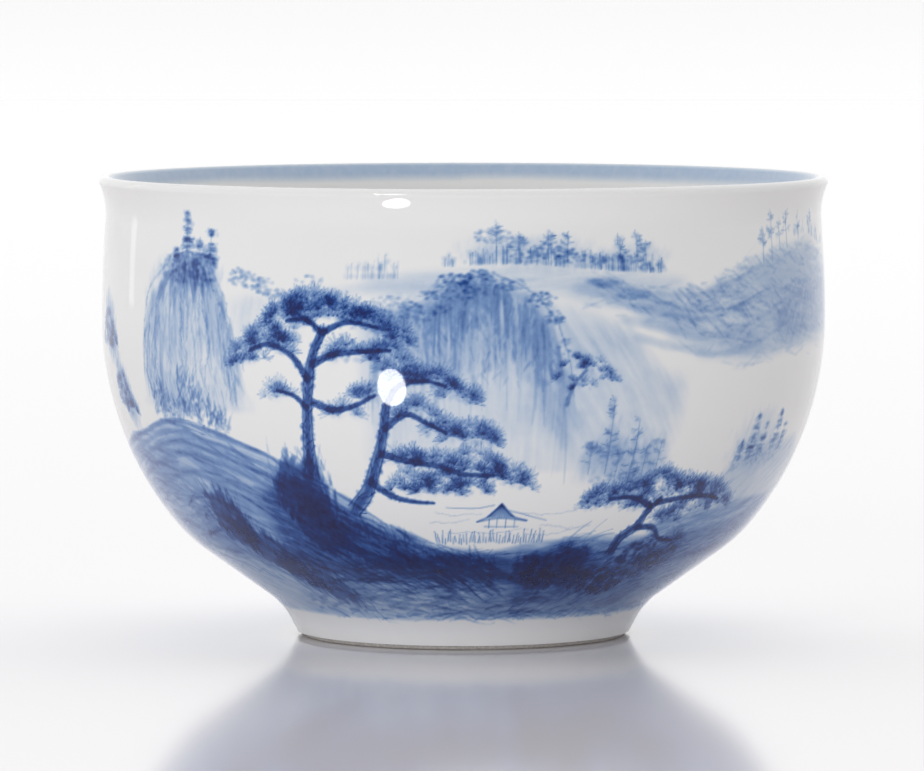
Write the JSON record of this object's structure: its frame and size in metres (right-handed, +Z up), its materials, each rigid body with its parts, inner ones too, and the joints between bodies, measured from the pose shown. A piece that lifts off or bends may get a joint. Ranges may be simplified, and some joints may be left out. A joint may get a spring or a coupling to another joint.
{
  "type": "teacup",
  "caption": "Small handleless porcelain teacup with a low foot ring, a slightly flared lip, cobalt landscape painting under the glaze and a cobalt line inside the lip.",
  "frame": {"origin": "centre of the foot, on the surface that the cup stands on", "axes": "+Z up along the cup's axis; the main view of the painting faces -Y"},
  "size_m": [0.095, 0.095, 0.06],
  "materials": {
    "porcelain_clay": "fine white fired porcelain clay",
    "bare_foot_clay": "unglazed fine-ground clay, faintly tan",
    "cobalt_painting": "cobalt pigment washes and brush strokes under gloss glaze",
    "outer_clear_glaze": "gloss clear glaze over white porcelain",
    "lip_clear_glaze": "gloss clear glaze over white porcelain",
    "cobalt_line": "soft-edged cobalt line under gloss glaze",
    "inner_clear_glaze": "gloss clear glaze over white porcelain",
    "foot_clear_glaze": "gloss clear glaze over white porcelain"
  },
  "bodies": {
    "root": {"porcelain_body": "porcelain_clay", "foot_ring": "bare_foot_clay", "landscape_painting": "cobalt_painting", "outer_glaze": "outer_clear_glaze", "lip_glaze": "lip_clear_glaze", "inner_rim_band": "cobalt_line", "inner_glaze": "inner_clear_glaze", "foot_well_glaze": "foot_clear_glaze"}
  },
  "joints": []
}
